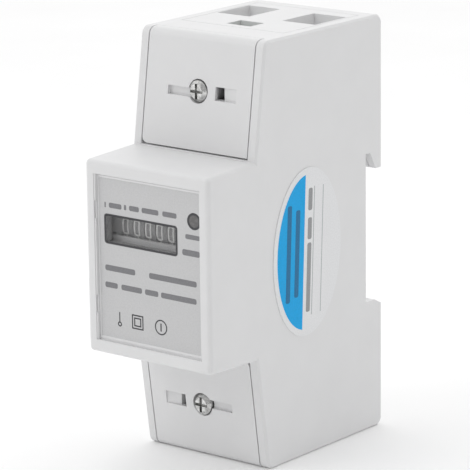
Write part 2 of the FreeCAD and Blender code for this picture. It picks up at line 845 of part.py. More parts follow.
def add_cover_slots(body):
    """A ramped slot and hole for a seal wire beside the well, and a shallow slot across from it."""
    outside = "screw_face - cover_thickness"
    inside = "screw_face + cover_thickness + overcut"
    hole_start, hole_end = "seal_slot_start - seal_hole_undercut", "seal_slot_start + seal_hole_width"
    ramp = [
        ("seal_slot_start", outside), ("seal_slot_end", outside),
        ("seal_slot_end", "screw_face + seal_slot_shallow"), (hole_end, "screw_face + seal_slot_deep"),
        (hole_end, inside), (hole_start, inside),
        (hole_start, "screw_face + seal_hole_skin"), ("seal_slot_start", "screw_face + seal_hole_skin"),
    ]
    pocket(body, outline(body, "XY_Plane", ramp, "cover_screw_z"), "seal_slot_height")
    shallow = rectangle("-finger_slot_end", "0", outside, "screw_face + finger_slot_depth")
    sketch = outline(body, "XY_Plane", shallow, "cover_screw_z - finger_slot_drop")
    pocket(body, sketch, "finger_slot_height")


def make_cover_screws():
    screws = []
    for sign in (1, -1):
        z = f"{sign} * cover_screw_z"
        seat_y = "screw_face + screw_well_depth"
        rim = f"{seat_y} - cover_screw_rise + cover_screw_crown"
        head = rod("y", rim, seat_y, "cover_screw_head / 2", "0", z)
        crown = doc.addObject("Part::Cone", "Crown")
        crown.setExpression("Radius1", full("cover_screw_head / 2 - crown_inset"))
        crown.setExpression("Radius2", full("cover_screw_head / 2"))
        crown.setExpression("Height", full("cover_screw_crown"))
        put(crown, "0", f"{seat_y} - cover_screw_rise", z, Y_TURN)
        shank = rod("y", seat_y, f"{seat_y} + cover_screw_length", "cover_screw_thread / 2", "0", z)
        screw = fuse(head, crown, shank)
        slots = []
        for wide, tall in (("cross_reach", "cross_half"), ("cross_half", "cross_reach")):
            slots.append(block(
                (f"-{wide}", wide), (f"{seat_y} - cover_screw_rise - overcut", f"{seat_y} - cross_floor"),
                (f"{z} - {tall}", f"{z} + {tall}"),
            ))
        screws.append(cut(screw, *slots))
    seat(group(*screws), "cover_screws")


def make_terminal_block(label, turn, with_pulse):
    body = new_body("TerminalBlock")
    plate = rectangle("block_front", "block_back", "half_height - block_plate", "half_height")
    pad(body, outline(body, "YZ_Plane", plate), "2 * block_half")
    lump = rectangle("block_face", "depth - wall", "block_low", "half_height - wall - fit_gap")
    pad(body, outline(body, "YZ_Plane", lump), "2 * block_half")
    notch = rectangle("channel_back - fit_gap", "depth", "block_low - overcut", "half_height - wall")
    pocket(body, outline(body, "YZ_Plane", notch), "2 * channel_half + 2 * fit_gap")
    tubes = new_sketch(body, "XZ_Plane", "-tube_front")
    for x in ("-pole_x", "pole_x"):
        add_outline(tubes, square(x, "cage_z", "terminal_screw_head / 2 + head_gap + tube_wall"))
    pad(body, tubes, "block_face - tube_front + overlap", "One side", True)
    column = new_sketch(body, "XZ_Plane", "-column_front")
    add_outline(column, square("0", "cover_screw_z", "column_size / 2"))
    pad(body, column, "block_face - column_front + overlap", "One side", True)
    cut_wire_ways(body)
    thread = new_sketch(body, "XZ_Plane", "-column_front")
    add_circle(thread, "0", "cover_screw_z", "cover_screw_thread / 2 + thread_gap")
    thread_end = "screw_face + screw_well_depth + cover_screw_length + tip_room"
    pocket(body, thread, f"{thread_end} - column_front", "One side")
    if with_pulse:
        sketch = new_sketch(body, "XY_Plane", "half_height")
        add_outline(sketch, rectangle(
            "pulse_rim - pulse_width / 2", "pulse_width / 2 - pulse_rim",
            "board_front - pulse_depth + pulse_end", "board_front - pulse_end",
        ))
        pocket(body, sketch, "block_plate + overcut", "One side")
    seat(body, label, turn=turn)


def cut_wire_ways(body):
    """Funnel, bore, clamp pocket and screw tube of each pole."""
    for x in ("-pole_x", "pole_x"):
        funnel = outline(body, "XY_Plane", rectangle(
            f"{x} - funnel_width / 2", f"{x} + funnel_width / 2",
            "wire_y - funnel_length / 2", "wire_y + funnel_length / 2",
        ), "half_height")
        way = pocket(body, funnel, "funnel_depth", "One side")
        way.setExpression("TaperAngle", full("-funnel_taper"))
        bore = new_sketch(body, "XY_Plane", "half_height")
        add_circle(bore, x, "wire_y", "wire_bore / 2")
        pocket(body, bore, "half_height - cage_high + overcut", "One side")
        room = rectangle(
            f"{x} - cage_width / 2 - cage_gap", f"{x} + cage_width / 2 + cage_gap",
            "cage_front - cage_gap", "cage_back + cage_gap",
        )
        sketch = outline(body, "XY_Plane", room, "block_low")
        pocket(body, sketch, "cage_high - block_low", "One side", True)
        tube = new_sketch(body, "XZ_Plane", "-tube_front")
        add_circle(tube, x, "cage_z", "terminal_screw_head / 2 + head_gap")
        pocket(body, tube, "cage_front - tube_front + overlap", "One side")


POLES = [("top_left", -1, 1), ("top_right", 1, 1), ("bottom_left", -1, -1), ("bottom_right", 1, -1)]


def make_terminals():
    screws = []
    for name, side, end in POLES:
        x = f"{side} * pole_x"
        z = f"{end} * cage_z"
        outer = block(
            (f"{x} - cage_width / 2", f"{x} + cage_width / 2"), ("cage_front", "cage_back"),
            (f"{z} - cage_height / 2", f"{z} + cage_height / 2"),
        )
        inner = block(
            (f"{x} - cage_width / 2 + cage_wall", f"{x} + cage_width / 2 - cage_wall"),
            ("cage_front + cage_nut", "cage_back - cage_wall"),
            (f"{z} - cage_height", f"{z} + cage_height"),
        )
        tapped = rod(
            "y", "cage_front - overcut", "cage_front + cage_nut + overcut",
            "terminal_screw_thread / 2 + thread_gap", x, z,
        )
        seat(cut(outer, inner, tapped), "terminal_cage_" + name)
        head_end = "cage_front - head_lift"
        head_face = f"{head_end} - terminal_screw_rise"
        head = rod("y", head_face, head_end, "terminal_screw_head / 2", x, z)
        shank = rod("y", head_end, f"{head_end} + terminal_screw_length", "terminal_screw_thread / 2", x, z)
        slot = block(
            (f"{x} - terminal_screw_head", f"{x} + terminal_screw_head"),
            (f"{head_face} - overcut", f"{head_face} + terminal_slot_depth"),
            (f"{z} - terminal_slot_half", f"{z} + terminal_slot_half"),
        )
        screws.append(cut(fuse(head, shank), slot))
    seat(group(*screws), "terminal_screws")


def make_bars():
    """The two neutral poles share one bar; the line's bars are joined by the measuring shunt."""
    half = "bar_width / 2"
    end = "cage_high - bar_end_gap"
    back = ("bar_front", "bar_back")
    seat(block((f"pole_x - {half}", f"pole_x + {half}"), back, (f"-({end})", end)), "neutral_bar")
    line = (f"-pole_x - {half}", f"-pole_x + {half}")
    seat(block(line, back, ("shunt_length / 2", end)), "line_bar_top")
    seat(block(line, back, (f"-({end})", "-shunt_length / 2")), "line_bar_bottom")
    thin = ("bar_back - shunt_thickness", "bar_back")
    seat(block(line, thin, ("-shunt_length / 2", "shunt_length / 2")), "shunt")
    place = "shunt_length / 2 + pin_inset"
    pins = [
        block(
            (f"{x} - pin_size / 2", f"{x} + pin_size / 2"), ("board_back", "bar_front"),
            (f"{z} - pin_size / 2", f"{z} + pin_size / 2"),
        )
        for x, z in (("-pole_x", place), ("-pole_x", f"-({place})"), ("pole_x", place))
    ]
    seat(group(*pins), "sense_pins")


def make_board():
    body = new_body("MainBoard")
    points = [
        ("-board_half_width", "-board_half_height"), ("board_half_width", "-board_half_height"),
        ("board_half_width", "board_half_height"), ("board_tongue / 2", "board_half_height"),
        ("board_tongue / 2", "terminal_top"),
        ("-board_tongue / 2", "terminal_top"),
        ("-board_tongue / 2", "board_half_height"), ("-board_half_width", "board_half_height"),
    ]
    sketch = new_sketch(body, "XZ_Plane", "-board_front")
    add_outline(sketch, points)
    add_outline(sketch, square("0", "cover_screw_z", "column_size / 2 + board_play"))
    pad(body, sketch, "board_thickness", "One side", True)
    seat(body, "main_board")


def over_board(x, z, size_x, size_z, deep):
    """A boxy part round a point of the board, with its two depths given."""
    return block(
        (f"({x} - {size_x} / 2) * across", f"({x} + {size_x} / 2) * across"),
        deep,
        (f"{z} - {size_z} / 2", f"{z} + {size_z} / 2"),
    )


def on_board(x, z, size_x, size_z, tall):
    return over_board(x, z, size_x, size_z, (f"board_front - {tall}", "board_front"))


def behind_board(x, z, size_x, size_z, tall):
    return over_board(x, z, size_x, size_z, ("board_back", f"board_back + {tall}"))


def can(x, z, radius, tall):
    """A round part standing on the front of the board."""
    return rod("y", f"board_front - {tall}", "board_front", f"{radius} * across", f"({x}) * across", z)


def make_electronics():
    seat(on_board("film_x", "film_z", "film_wide", "film_high", "film_deep"), "film_capacitor")
    seat(can("can_x", "can_z", "can_radius", "can_deep"), "electrolytic_capacitor")
    disc = rod(
        "x", "(varistor_x - varistor_wide / 2) * across", "(varistor_x + varistor_wide / 2) * across",
        "varistor_radius", "board_front - varistor_lift", "varistor_z",
    )
    leads = [
        on_board("varistor_x", f"(varistor_z {sign} lead_spread)", "lead_size", "lead_size", "lead_deep")
        for sign in "+-"
    ]
    seat(fuse(disc, *leads), "varistor")
    seat(on_board("0", "opto_z", "opto_wide", "opto_high", "package_deep"), "optocoupler")
    seat(on_board("bridge_x", "bridge_z", "bridge_wide", "bridge_high", "package_deep"), "bridge_rectifier")
    ends = [
        can(f"crystal_x {sign} crystal_wide / 2", "0", "crystal_high / 2", "crystal_deep")
        for sign in "+-"
    ]
    seat(fuse(on_board("crystal_x", "0", "crystal_wide", "crystal_high", "crystal_deep"), *ends), "crystal")
    chip = behind_board("0", "chip_z", "chip_wide", "chip_high", "chip_deep")
    legs = [
        behind_board(
            "0", f"(chip_z + leg_pitch * {step - (CHIP_LEGS - 1) / 2})",
            "leg_span", "leg_width", "leg_deep",
        )
        for step in range(CHIP_LEGS)
    ]
    seat(fuse(chip, *legs), "metering_chip")
    lamp = rod("y", "board_front - lamp_height", "board_front", "pipe_diameter / 2", "lamp_x", "lamp_z")
    seat(lamp, "pulse_lamp")


def make_pulse_terminal():
    half = "pulse_width / 2"
    top = "terminal_top"
    face = "board_front - pulse_depth"
    case = block((f"-{half}", half), (face, "board_front"), (f"{top} - pulse_height", top))
    tools, screws = [], []
    middle = f"{top} - pulse_height / 2"
    center = "board_front - pulse_depth / 2"
    entry = "(pulse_bore / 2 - pulse_entry_gap)"
    for sign in (-1, 1):
        x = f"{sign} * pulse_pitch / 2"
        floor = f"{face} + pulse_screw_floor"
        tools.append(rod("y", f"{face} - overcut", floor, "pulse_bore / 2", x, middle))
        tools.append(block(
            (f"{x} - {entry}", f"{x} + {entry}"), (f"{center} - {entry}", f"{center} + {entry}"),
            (f"{middle} + pulse_floor", f"{top} + overcut"),
        ))
        sunk = f"{face} + pulse_screw_sink"
        head = rod("y", sunk, floor, "pulse_bore / 2 - shank_gap", x, middle)
        slot = block(
            (f"{x} - pulse_bore", f"{x} + pulse_bore"), (face, f"{sunk} + pulse_slot_depth"),
            (f"{middle} - pulse_slot_half", f"{middle} + pulse_slot_half"),
        )
        screws.append(cut(head, slot))
    seat(cut(case, *tools), "pulse_terminal")
    seat(group(*screws), "pulse_terminal_screws")


def make_front_pieces():
    body = new_body("Label")
    margin = "(frame_side + lens_gap)"
    sketch = new_sketch(body, "XZ_Plane", "-label_back")
    add_outline(sketch, rectangle(
        f"-(width / 2 - {margin})", f"width / 2 - {margin}",
        "-(half_raised - frame_end - lens_gap)", "half_raised - frame_end - lens_gap",
    ))
    add_outline(sketch, window_rectangle("0"))
    add_circle(sketch, "lamp_x", "lamp_z", "lamp_hole / 2")
    pad(body, sketch, "label_thickness", "One side")
    seat(body, "label_plate")

    body = new_body("Lens")
    plug = outline(body, "XZ_Plane", window_rectangle("-lens_gap"), "-label_recess")
    pad(body, plug, "inner_front - label_recess", "One side", True)
    rim = outline(body, "XZ_Plane", window_rectangle("window_flange"), "-inner_front")
    pad(body, rim, "window_flange", "One side", True)
    seat(body, "window_lens")

    pipe = rod("y", "label_recess", "board_front - lamp_height", "pipe_diameter / 2", "lamp_x", "lamp_z")
    half = "pipe_collar / 2"
    collar = block(
        (f"lamp_x - {half}", f"lamp_x + {half}"), ("inner_front", "inner_front + pipe_collar_depth"),
        (f"lamp_z - {half}", f"lamp_z + {half}"),
    )
    seat(fuse(pipe, collar), "light_pipe")


def tooth(pitch_radius, foot, foot_half):
    """One straight-sided tooth along the sketch's first axis; its foot is given in modules."""
    tip = f"{pitch_radius} + {TOOTH_RISE} * tooth_module"
    low = f"{pitch_radius} - {foot} * tooth_module"
    return [
        (low, f"-{foot_half} * tooth_module"), (tip, f"-{TOOTH_TIP} * tooth_module"),
        (tip, f"{TOOTH_TIP} * tooth_module"), (low, f"{foot_half} * tooth_module"),
    ]


def turned_points(points, degrees):
    """Turns an outline about the sketch's origin."""
    c, s = math.cos(math.radians(degrees)), math.sin(math.radians(degrees))
    return [
        (f"({u}) * ({c:.6f}) - ({v}) * ({s:.6f})", f"({u}) * ({s:.6f}) + ({v}) * ({c:.6f})")
        for u, v in points
    ]


def add_teeth(body, count, outline_points, start, length, first_angle):
    """A ring of teeth about the x axis, from a start along it."""
    points = turned_points(outline_points, first_angle)
    sketch = outline(body, "YZ_Plane", points, start)
    one = pad(body, sketch, length, "One side")
    ring = body.newObject("PartDesign::PolarPattern", "Ring")
    ring.Originals = [one]
    axis = [item for item in body.Origin.OriginFeatures if item.Role == "X_Axis"][0]
    ring.Axis = (axis, [""])
    ring.Angle = 360.0
    ring.Occurrences = count
    body.Tip = ring
    doc.recompute()


def make_drum(number):
    """A number wheel: locking disc, printed band and toothed ring, left to right."""
    body = new_body("Drum")
    half = "drum_width / 2"
    foot, foot_half, hub = RING_FOOT
    root = f"ring_pitch - {hub} * tooth_module"
    disc = f"ring_pitch - {DISC_CLEARANCE} * tooth_module"
    profile = [
        (f"-{half}", "drum_bore / 2"), (half, "drum_bore / 2"), (half, root),
        (f"{half} - ring_width", root), (f"{half} - ring_width", "drum_radius"),
        (f"band_setback - {half}", "drum_radius"), (f"band_setback - {half}", disc), (f"-{half}", disc),
    ]
    sketch = outline(body, "XY_Plane", profile)
    wheel = body.newObject("PartDesign::Revolution", "Wheel")
    wheel.Profile = sketch
    axis = [item for item in body.Origin.OriginFeatures if item.Role == "X_Axis"][0]
    wheel.ReferenceAxis = (axis, [""])
    wheel.Angle = 360.0
    doc.recompute()
    flanks = tooth("ring_pitch", foot, foot_half)
    first = PINION_ANGLE + 180.0 / RING_TEETH
    add_teeth(body, RING_TEETH, flanks, f"{half} - ring_width", "ring_width", first)
    x = f"window_x + drum_pitch * {number - (DRUMS - 1) / 2}"
    seat(body, f"number_drum_{number + 1}", x, "axis_y", "window_z")


def make_pinion(label, width, bore, x, angle, axle=None):
    """A small gear about x beside the drums, at an angle round their axis."""
    body = new_body("Pinion")
    foot, foot_half, hub = PINION_FOOT
    root = f"pinion_pitch - {hub} * tooth_module"
    sketch = new_sketch(body, "YZ_Plane")
    add_circle(sketch, "0", "0", root)
    if bore:
        add_circle(sketch, "0", "0", bore)
    pad(body, sketch, width, "One side")
    flanks = tooth("pinion_pitch", foot, foot_half)
    add_teeth(body, PINION_TEETH, flanks, "0", width, angle + 180.0)
    if axle:
        shaft = new_sketch(body, "YZ_Plane")
        add_circle(shaft, "0", "0", "motor_shaft / 2")
        pad(body, shaft, axle, "One side")
    c, s = math.cos(math.radians(angle)), math.sin(math.radians(angle))
    seat(body, label, x, f"axis_y + gear_distance * ({c:.6f})", f"window_z + gear_distance * ({s:.6f})")


def make_counter():
    for number in range(DRUMS):
        make_drum(number)
    ring_side = "drum_width / 2 - ring_width + pinion_play"
    for number in range(DRUMS - 1):
        x = f"window_x + drum_pitch * {number - (DRUMS - 1) / 2} + {ring_side}"
        make_pinion(f"carry_pinion_{number + 1}", "pinion_width", "pinion_bore / 2", x, PINION_ANGLE)
    last = f"window_x + drum_pitch * {(DRUMS - 1) / 2} + {ring_side}"
    shaft = f"frame_right + frame_plate + motor_shaft_depth - ({last})"
    make_pinion("motor_pinion", "ring_width", None, last, MOTOR_ANGLE, shaft)
    ends = ("frame_left - frame_plate - counter_axle_end", "frame_right + frame_plate")
    seat(rod("x", *ends, "drum_bore / 2 - running_gap", "axis_y", "window_z"), "drum_axle")
    seat(rod("x", *ends, "pinion_bore / 2 - running_gap", "pinion_y", "pinion_z"), "pinion_axle")
    make_counter_frame()
    make_motor()


def motor_place():
    c, s = math.cos(math.radians(MOTOR_ANGLE)), math.sin(math.radians(MOTOR_ANGLE))
    return f"axis_y + gear_distance * ({c:.6f})", f"window_z + gear_distance * ({s:.6f})"


def make_counter_frame():
    """Two end plates, a screwed flange, a plate behind the drums and a mask before them."""
    tall = ("frame_low", "frame_high")
    deep = ("flange_y", "frame_back + frame_plate")
    left = block(("frame_left - frame_plate", "frame_left"), deep, tall)
    right = block(("frame_right", "frame_right + frame_plate"), deep, tall)
    across = ("frame_left - frame_plate / 2", "frame_right + frame_plate / 2")
    foot = block(across, ("flange_y", "flange_y + frame_plate"), ("frame_low", "foot_top"))
    back = block(across, ("frame_back", "frame_back + frame_plate"), tall)
    low = ("mask_top - mask_height", "mask_top")
    mask = block(across, ("mask_front", "mask_front + mask_thickness"), low)
    ears = [
        block((f"{side} - frame_plate", side), ("mask_front", "flange_y + overlap"), low)
        for side in ("frame_left", "frame_right + frame_plate")
    ]
    reach = ("frame_left - frame_plate - overcut", "frame_right + frame_plate + overcut")
    motor_y, motor_z = motor_place()
    holes = [
        rod("x", *reach, "drum_bore / 2 - running_gap", "axis_y", "window_z"),
        rod("x", *reach, "pinion_bore / 2 - running_gap", "pinion_y", "pinion_z"),
        rod("x", "frame_right - overcut", reach[1], "motor_shaft / 2 + running_gap", motor_y, motor_z),
    ]
    holes += [
        rod(
            "y", "flange_y - overcut", "flange_y + frame_plate + overcut",
            "counter_screw_thread / 2 + shank_gap", x, z,
        )
        for x, z in counter_boss_places()
    ]
    seat(cut(fuse(left, right, foot, back, mask, *ears), *holes), "counter_frame")
    screws = []
    for x, z in counter_boss_places():
        top = "flange_y + frame_plate"
        crown = f"{top} + counter_screw_rise"
        head = rod("y", top, crown, "counter_screw_head / 2", x, z)
        shank = rod("y", f"{top} - counter_screw_length", top, "counter_screw_thread / 2", x, z)
        slot = block(
            (f"({x}) - counter_screw_head", f"({x}) + counter_screw_head"),
            (f"{crown} - counter_slot_depth", f"{crown} + overcut"),
            (f"{z} - counter_slot_half", f"{z} + counter_slot_half"),
        )
        screws.append(cut(fuse(head, shank), slot))
    seat(group(*screws), "counter_screws")


def make_motor():
    motor_y, motor_z = motor_place()
    start = "frame_right + frame_plate"
    can = rod("x", start, f"{start} + motor_thickness", "motor_diameter / 2", motor_y, motor_z)
    bore = rod(
        "x", f"{start} - overcut", f"{start} + motor_shaft_depth + fit_gap",
        "motor_shaft / 2 + running_gap", motor_y, motor_z,
    )
    seat(cut(can, bore), "stepper_motor")


def make_sticker():
    """The thin oval sticker on the right-hand side."""
    center = FreeCAD.Vector(0, 0, 0)
    rim = Part.Ellipse(center, value("sticker_height / 2"), value("sticker_width / 2"))
    face = Part.Face(Part.Wire(rim.toShape()))
    shape = face.extrude(FreeCAD.Vector(0, 0, value("sticker_thickness")))
    upright = FreeCAD.Rotation(FreeCAD.Vector(0, 1, 0), 90)
    tilt = FreeCAD.Rotation(FreeCAD.Vector(1, 0, 0), -value("sticker_tilt"))
    item = doc.addObject("Part::Feature", "Sticker")
    item.Shape = shape
    seat(item, "side_sticker", "width / 2", "sticker_depth", "-sticker_drop", tilt.multiply(upright))


make_housing()
make_rear_base()
make_din_clip()
make_cover("terminal_cover_top", NO_TURN)
make_cover("terminal_cover_bottom", OVER)
make_cover_screws()
make_terminal_block("terminal_block_top", NO_TURN, True)
make_terminal_block("terminal_block_bottom", OVER, False)
make_terminals()
make_bars()
make_board()
make_electronics()
make_pulse_terminal()
make_front_pieces()
make_counter()
make_sticker()

doc.recompute()
for item in doc.Objects:
    if "Invalid" in item.State or "Error" in item.State:
        raise ValueError(f"{item.Name} failed: {item.State}")

os.makedirs("parts", exist_ok=True)
for label, item in subparts.items():
    shape = item.Shape
    if shape.isNull() or not shape.isValid() or not shape.Solids:
        raise ValueError(f"{label} is not a sound solid")
    shape.exportStep(f"parts/{label}.step")
print(len(subparts), "pieces written")
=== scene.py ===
import json
import math
import bmesh
import bpy
from mathutils import Matrix, Vector


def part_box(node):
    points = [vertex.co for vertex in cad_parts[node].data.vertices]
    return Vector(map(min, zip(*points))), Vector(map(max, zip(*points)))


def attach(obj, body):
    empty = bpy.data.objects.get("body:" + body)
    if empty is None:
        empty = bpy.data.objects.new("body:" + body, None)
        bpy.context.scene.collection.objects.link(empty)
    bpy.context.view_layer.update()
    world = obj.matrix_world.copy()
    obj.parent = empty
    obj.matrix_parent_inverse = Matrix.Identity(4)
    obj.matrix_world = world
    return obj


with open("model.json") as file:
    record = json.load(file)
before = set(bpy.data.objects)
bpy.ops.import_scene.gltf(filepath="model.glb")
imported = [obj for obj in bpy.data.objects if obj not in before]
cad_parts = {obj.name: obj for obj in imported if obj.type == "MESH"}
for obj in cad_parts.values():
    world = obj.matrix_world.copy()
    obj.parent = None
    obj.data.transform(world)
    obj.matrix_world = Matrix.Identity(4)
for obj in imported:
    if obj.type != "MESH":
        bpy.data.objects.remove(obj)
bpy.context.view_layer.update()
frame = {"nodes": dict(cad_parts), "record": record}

scene = bpy.context.scene
scene.view_settings.view_transform = "Standard"

MM = 0.001
DEPTH, HEIGHT = 65.0, 100.0


def at(x, y, z):
    """A point from the middle of the front face, in mm, as a point of the frame in metres."""
    return Vector((x * MM, (y - DEPTH / 2) * MM, (z + HEIGHT / 2) * MM))


# materials


class Graph:
    """A material's node tree, with short ways to add to it."""

    def __init__(self, name):
        self.material = bpy.data.materials.new(name)
        self.material.use_nodes = True
        self.tree = self.material.node_tree
        self.shader = self.tree.nodes["Principled BSDF"]
        self.place = self.node("TexCoord").outputs["Object"]

    def node(self, kind, **settings):
        item = self.tree.nodes.new("ShaderNode" + kind)
        for name, value in settings.items():
            setattr(item, name, value)
        return item

    def link(self, output, item, socket):
        self.tree.links.new(output, item.inputs[socket])

    def shade(self, output, socket):
        self.link(output, self.shader, socket)

    def set(self, **values):
        for name, value in values.items():
            self.shader.inputs[name.replace("_", " ")].default_value = value

    def noise(self, size_mm, detail=3.0, rough=0.55, stretch=None):
        item = self.node("TexNoise")
        item.inputs["Scale"].default_value = 1.0 / (size_mm * MM)
        item.inputs["Detail"].default_value = detail
        item.inputs["Roughness"].default_value = rough
        place = self.place
        if stretch:
            mapping = self.node("Mapping")
            mapping.inputs["Scale"].default_value = stretch
            self.link(place, mapping, "Vector")
            place = mapping.outputs["Vector"]
        self.link(place, item, "Vector")
        return item.outputs["Fac"]

    def ramp(self, value, low, low_color, high, high_color):
        """One colour up to the value low, another from the value high on, and a blend between."""
        item = self.node("ValToRGB")
        stops = ((low, low_color), (high, high_color))
        for element, (where, color) in zip(item.color_ramp.elements, stops):
            element.position = where
            element.color = (*color, 1.0)
        self.link(value, item, "Fac")
        return item.outputs["Color"]

    def span(self, value, low, high):
        item = self.node("MapRange")
        item.inputs["To Min"].default_value = low
        item.inputs["To Max"].default_value = high
        self.link(value, item, "Value")
        return item.outputs["Result"]

    def bump(self, height, depth_mm, strength=0.5, under=None):
        item = self.node("Bump")
        item.inputs["Strength"].default_value = strength
        item.inputs["Distance"].default_value = depth_mm * MM
        self.link(height, item, "Height")
        if under:
            self.link(under, item, "Normal")
        return item.outputs["Normal"]


def tint(color, factor):
    return tuple(min(1.0, channel * factor) for channel in color)


def grey(level):
    return (level, level, level)


def moulded(name, color, rough=0.5, grain=0.22, depth=0.012, spread=0.04):
    """Injection-moulded plastic: fine eroded grain, faint flow marks and uneven gloss."""
    g = Graph(name)
    cloud = g.noise(9.0, detail=4.0)
    pale, dark = tint(color, 1.0 + spread / 2), tint(color, 1.0 - spread)
    g.shade(g.ramp(cloud, 0.3, dark, 0.7, pale), "Base Color")
    g.shade(g.span(g.noise(2.5, detail=5.0), rough - 0.07, rough + 0.07), "Roughness")
    flow = g.bump(g.noise(14.0, detail=2.0), depth_mm=0.04, strength=0.12)
    eroded = g.noise(grain, detail=2.0, rough=0.7)
    g.shade(g.bump(eroded, depth_mm=depth, strength=0.6, under=flow), "Normal")
    return g.material


def metal(name, color, rough=0.3, stretch=(1.0, 1.0, 1.0), grain=0.25, spread=0.18):
    """Plated or drawn metal with fine marks and patches of duller finish; a wide spread makes the
    patches partly painted reflection.
    """
    g = Graph(name)
    marks = g.noise(grain, detail=6.0, rough=0.7, stretch=stretch)
    pale, dark = tint(color, 1.0 + spread / 3), tint(color, 1.0 - spread)
    g.shade(g.ramp(marks, 0.25, dark, 0.75, pale), "Base Color")
    g.shade(g.span(g.noise(1.4, detail=4.0), rough - 0.1, rough + 0.12), "Roughness")
    g.shade(g.bump(marks, depth_mm=0.01), "Normal")
    g.set(Metallic=1.0)
    return g.material


def printed(name, color, rough=0.42, spread=0.05, grain=0.35, shine=0.5):
    """Printed film: faint screen mottling over a thin orange peel."""
    g = Graph(name)
    screen = g.noise(grain, detail=4.0)
    pale, dark = tint(color, 1.0 + spread), tint(color, 1.0 - spread)
    g.shade(g.ramp(screen, 0.3, dark, 0.7, pale), "Base Color")
    g.shade(g.span(g.noise(3.0), rough - 0.05, rough + 0.08), "Roughness")
    g.shade(g.bump(g.noise(0.6), depth_mm=0.006, strength=0.4), "Normal")
    g.set(Specular_IOR_Level=shine)
    return g.material


def clear(name, color, alpha, rough=0.08):
    """Clear moulding: slightly smoky, with faint waviness and a film of dust."""
    g = Graph(name)
    dust = g.noise(1.2, detail=6.0, rough=0.75)
    g.shade(g.ramp(dust, 0.45, color, 0.8, tint(color, 1.6)), "Base Color")
    g.shade(g.span(dust, rough, rough + 0.1), "Roughness")
    g.shade(g.bump(g.noise(6.0, detail=2.0), depth_mm=0.02, strength=0.3), "Normal")
    g.set(Alpha=alpha, IOR=1.49)
    return g.material


def laminate(name):
    """Circuit board: weave of the glass cloth under solder resist."""
    g = Graph(name)
    weave = g.node("TexBrick", offset=0.5)
    for socket, value in (
        ("Scale", 1.0 / (1.2 * MM)),
        ("Color1", (0.02, 0.20, 0.07, 1)),
        ("Color2", (0.025, 0.24, 0.09, 1)),
        ("Mortar", (0.015, 0.16, 0.05, 1)),
        ("Mortar Size", 0.05),
    ):
        weave.inputs[socket].default_value = value
    g.link(g.place, weave, "Vector")
    g.shade(weave.outputs["Color"], "Base Color")
    g.shade(g.span(g.noise(2.0), 0.25, 0.4), "Roughness")
    g.shade(g.bump(weave.outputs["Fac"], depth_mm=0.01, strength=0.4), "Normal")
    return g.material


WHITE = (0.74, 0.74, 0.745)
ALONG_X, ALONG_Y, ALONG_Z = (0.1, 3.0, 3.0), (2.0, 0.1, 2.0), (3.0, 3.0, 0.15)
LOOKS = {
    "casing_plastic": moulded("casing_white", WHITE, spread=0.016),
    "cover_plastic": moulded("cover_white", tint(WHITE, 0.99), rough=0.46, spread=0.016),
    "clip_plastic": moulded("clip_white", grey(0.72), rough=0.4),
    "label_print": printed("label_grey", (0.565, 0.565, 0.57)),
    "sticker_print": printed("sticker_white", (0.76, 0.765, 0.775), rough=0.36),
    "clear_window": clear("window_clear", (0.42, 0.42, 0.425), alpha=0.1),
    "clear_pipe": clear("pipe_smoky", (0.17, 0.165, 0.165), alpha=0.78, rough=0.2),
    # the screws' strong light and dark mottle is partly worn zinc and partly painted reflection,
    # standing in for the glints and dark patches of the plated heads
    "screw_steel": metal("screw_zinc_and_painted_glints", (0.74, 0.74, 0.73), rough=0.22, grain=0.8, spread=0.6),
    "axle_steel": metal("axle_steel", grey(0.62), rough=0.25, stretch=ALONG_X),
    "clamp_brass": metal("clamp_nickel_brass", (0.76, 0.66, 0.42), rough=0.32),
    "bar_copper": metal("bar_copper", (0.82, 0.45, 0.30), rough=0.34, stretch=ALONG_Z),
    "shunt_alloy": metal("shunt_alloy", (0.55, 0.46, 0.38), rough=0.4, stretch=ALONG_Z),
    "board_green": laminate("board_green"),
    "capacitor_grey": moulded("capacitor_ochre", (0.62, 0.45, 0.10), grain=0.3),
    "capacitor_can": metal("can_aluminium", (0.70, 0.71, 0.73), stretch=ALONG_Y),
    "varistor_blue": moulded("varistor_blue", (0.03, 0.09, 0.32), rough=0.35, grain=0.8, depth=0.05),
    "chip_black": moulded(
        "chip_black", (0.025, 0.025, 0.027), rough=0.55, grain=0.12, depth=0.02, spread=0.2,
    ),
    "lamp_red": moulded("lamp_red", (0.55, 0.03, 0.02), rough=0.15, grain=0.5, depth=0.003),
    "terminal_green": moulded("terminal_green", (0.06, 0.26, 0.10), rough=0.45, grain=0.3),
    "counter_frame_plastic": moulded(
        "frame_grey", (0.72, 0.72, 0.725), grain=0.3, depth=0.01, spread=0.1,
    ),
    "drum_plastic": moulded(
        "drum_grey", (0.35, 0.35, 0.355), rough=0.45, grain=0.3, depth=0.006, spread=0.12,
    ),
    "pinion_plastic": moulded("pinion_natural", (0.78, 0.76, 0.70), rough=0.4, grain=0.3),
    "motor_can": metal("motor_can", (0.50, 0.50, 0.51), rough=0.35),
}
INK = printed("ink_dark", (0.045, 0.045, 0.05), rough=0.5, spread=0.25, grain=0.25)
INK_GREY = printed("ink_grey", (0.20, 0.20, 0.21), rough=0.5, spread=0.15, grain=0.25)
INK_SOFT = printed("ink_soft", (0.3, 0.305, 0.31), rough=0.5, spread=0.12, grain=0.25)
INK_PALE = printed("ink_pale", (0.42, 0.44, 0.45), rough=0.5, spread=0.1, grain=0.25)
BLUE = printed("sticker_blue", (0.002, 0.37, 0.77), rough=0.34, spread=0.06, grain=0.4, shine=0.2)
NAVY = printed("sticker_navy", (0.006, 0.15, 0.32), rough=0.35, spread=0.15, grain=0.3, shine=0.3)
DIGIT = printed("digit_pale", (0.97, 0.97, 0.96), rough=0.5, spread=0.03, grain=0.2)
